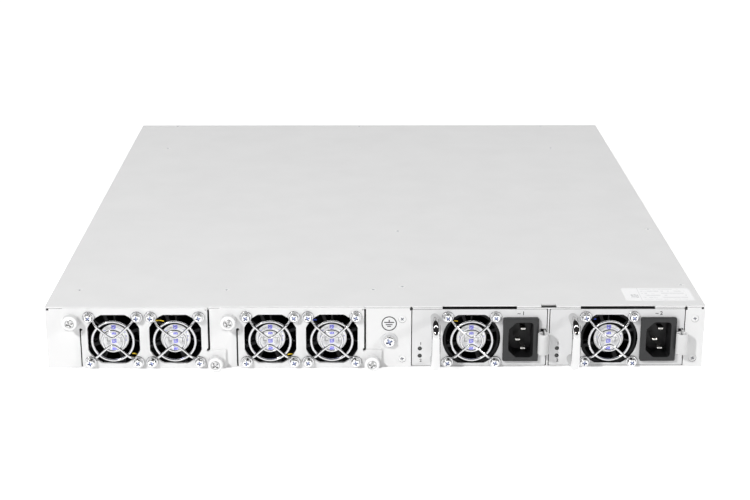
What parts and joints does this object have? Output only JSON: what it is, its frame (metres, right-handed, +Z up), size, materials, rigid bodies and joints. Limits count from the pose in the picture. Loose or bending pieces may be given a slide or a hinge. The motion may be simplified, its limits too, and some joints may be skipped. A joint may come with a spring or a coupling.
{
  "type": "rackmount network switch",
  "caption": "One-unit rackmount network switch with pull-out fan trays and power modules at one side and stacked ports at the other.",
  "frame": {"origin": "centre of the chassis underside, without the handles and screw heads that stand out of it", "axes": "+Z up, -Y out of the fan and power side, +Y out of the port side, +X to the right seen from the fan and power side"},
  "size_m": [0.44, 0.5352, 0.0436],
  "materials": {
    "white_paint": "fine-textured white powder coat",
    "module_paint": "light grey powder coat",
    "latch_paint": "light grey coated spring sheet",
    "plated_sheet": "zinc-plated sheet",
    "plated_screws": "nickel-plated screws",
    "bright_wire": "bright plated wire",
    "bright_bar": "bright plated bar",
    "thumb_cap": "white-coated screw head",
    "fan_plastic": "moulded black plastic",
    "rotor_plastic": "moulded black plastic",
    "inlet_plastic": "dark grey moulded plastic",
    "board_laminate": "green solder mask",
    "connector_plastic": "black moulded connector",
    "clear_plastic": "clear light pipe",
    "button_plastic": "black button",
    "heatsink_metal": "extruded aluminium"
  },
  "bodies": {
    "root": {"chassis_base": "white_paint", "top_cover": "white_paint", "front_panel": "white_paint", "inner_brackets": "plated_sheet", "port_cages": "plated_sheet", "cage_dividers": "plated_sheet", "cover_screws": "plated_screws", "panel_screws": "plated_screws", "ground_screw": "plated_screws", "board_standoffs": "plated_screws", "main_board": "board_laminate", "power_backplane": "board_laminate", "bay_sockets": "connector_plastic", "port_connectors": "connector_plastic", "port_spacers": "connector_plastic", "rj45_jack": "connector_plastic", "reset_switch": "connector_plastic", "light_pipes": "clear_plastic", "switch_heatsink": "heatsink_metal"},
    "fan_tray_a": {"fan_tray_plate_a": "white_paint", "fan_tray_bracket_a": "plated_sheet", "fan_tray_plug_a": "connector_plastic", "fan_frames_a": "fan_plastic", "finger_guards_a": "bright_wire", "guard_screws_a": "plated_screws"},
    "fan_tray_b": {"fan_tray_plate_b": "white_paint", "fan_tray_bracket_b": "plated_sheet", "fan_tray_plug_b": "connector_plastic", "fan_frames_b": "fan_plastic", "finger_guards_b": "bright_wire", "guard_screws_b": "plated_screws"},
    "fan_rotor_1": {"fan_rotor_1": "rotor_plastic"},
    "fan_rotor_2": {"fan_rotor_2": "rotor_plastic"},
    "fan_rotor_3": {"fan_rotor_3": "rotor_plastic"},
    "fan_rotor_4": {"fan_rotor_4": "rotor_plastic"},
    "thumbscrew_1": {"thumbscrew_1": "thumb_cap"},
    "thumbscrew_2": {"thumbscrew_2": "thumb_cap"},
    "thumbscrew_3": {"thumbscrew_3": "thumb_cap"},
    "thumbscrew_4": {"thumbscrew_4": "thumb_cap"},
    "psu_a": {"psu_case_a": "module_paint", "psu_fan_frame_a": "fan_plastic", "psu_finger_guard_a": "bright_wire", "psu_guard_screws_a": "plated_screws", "psu_handle_a": "bright_bar", "psu_inlet_a": "inlet_plastic", "psu_lights_a": "clear_plastic", "psu_board_a": "board_laminate"},
    "psu_fan_rotor_a": {"psu_fan_rotor_a": "rotor_plastic"},
    "psu_latch_a": {"psu_latch_a": "latch_paint"},
    "psu_b": {"psu_case_b": "module_paint", "psu_fan_frame_b": "fan_plastic", "psu_finger_guard_b": "bright_wire", "psu_guard_screws_b": "plated_screws", "psu_handle_b": "bright_bar", "psu_inlet_b": "inlet_plastic", "psu_lights_b": "clear_plastic", "psu_board_b": "board_laminate"},
    "psu_fan_rotor_b": {"psu_fan_rotor_b": "rotor_plastic"},
    "psu_latch_b": {"psu_latch_b": "latch_paint"},
    "reset_button": {"reset_button": "button_plastic"}
  },
  "joints": [
    {"name": "fan_tray_a_slide", "type": "slide", "parent": "root", "child": "fan_tray_a", "axis": [0, -1, 0], "range_m": [0, 0.065]},
    {"name": "fan_rotor_1_spin", "type": "hinge", "parent": "fan_tray_a", "child": "fan_rotor_1", "pos_m": [-0.17485, -0.255, 0.0213], "axis": [0, -1, 0], "continuous": true},
    {"name": "fan_rotor_2_spin", "type": "hinge", "parent": "fan_tray_a", "child": "fan_rotor_2", "pos_m": [-0.13375, -0.255, 0.0213], "axis": [0, -1, 0], "continuous": true},
    {"name": "thumbscrew_1_turn", "type": "hinge", "parent": "fan_tray_a", "child": "thumbscrew_1", "pos_m": [-0.2023, -0.255, 0.035], "axis": [0, -1, 0], "continuous": true},
    {"name": "thumbscrew_2_turn", "type": "hinge", "parent": "fan_tray_a", "child": "thumbscrew_2", "pos_m": [-0.1069, -0.255, 0.0054], "axis": [0, -1, 0], "continuous": true},
    {"name": "fan_tray_b_slide", "type": "slide", "parent": "root", "child": "fan_tray_b", "axis": [0, -1, 0], "range_m": [0, 0.065]},
    {"name": "fan_rotor_3_spin", "type": "hinge", "parent": "fan_tray_b", "child": "fan_rotor_3", "pos_m": [-0.07045, -0.255, 0.0213], "axis": [0, -1, 0], "continuous": true},
    {"name": "fan_rotor_4_spin", "type": "hinge", "parent": "fan_tray_b", "child": "fan_rotor_4", "pos_m": [-0.02935, -0.255, 0.0213], "axis": [0, -1, 0], "continuous": true},
    {"name": "thumbscrew_3_turn", "type": "hinge", "parent": "fan_tray_b", "child": "thumbscrew_3", "pos_m": [-0.0979, -0.255, 0.035], "axis": [0, -1, 0], "continuous": true},
    {"name": "thumbscrew_4_turn", "type": "hinge", "parent": "fan_tray_b", "child": "thumbscrew_4", "pos_m": [-0.0025, -0.255, 0.0054], "axis": [0, -1, 0], "continuous": true},
    {"name": "psu_a_slide", "type": "slide", "parent": "root", "child": "psu_a", "axis": [0, -1, 0], "range_m": [0, 0.2]},
    {"name": "psu_fan_rotor_a_spin", "type": "hinge", "parent": "psu_a", "child": "psu_fan_rotor_a", "pos_m": [0.0641, -0.255, 0.0202], "axis": [0, -1, 0], "continuous": true},
    {"name": "psu_latch_a_press", "type": "hinge", "parent": "psu_a", "child": "psu_latch_a", "pos_m": [0.1114, -0.226, 0.01965], "axis": [0, 0, -1], "range_deg": [0, 3], "stiffness_Nm_per_rad": 0.5},
    {"name": "psu_b_slide", "type": "slide", "parent": "root", "child": "psu_b", "axis": [0, -1, 0], "range_m": [0, 0.2]},
    {"name": "psu_fan_rotor_b_spin", "type": "hinge", "parent": "psu_b", "child": "psu_fan_rotor_b", "pos_m": [0.1563, -0.255, 0.0202], "axis": [0, -1, 0], "continuous": true},
    {"name": "psu_latch_b_press", "type": "hinge", "parent": "psu_b", "child": "psu_latch_b", "pos_m": [0.2036, -0.226, 0.01965], "axis": [0, 0, -1], "range_deg": [0, 3], "stiffness_Nm_per_rad": 0.5},
    {"name": "reset_button_press", "type": "slide", "parent": "root", "child": "reset_button", "axis": [0, -1, 0], "range_m": [0, 0.0006], "stiffness_N_per_m": 500}
  ]
}
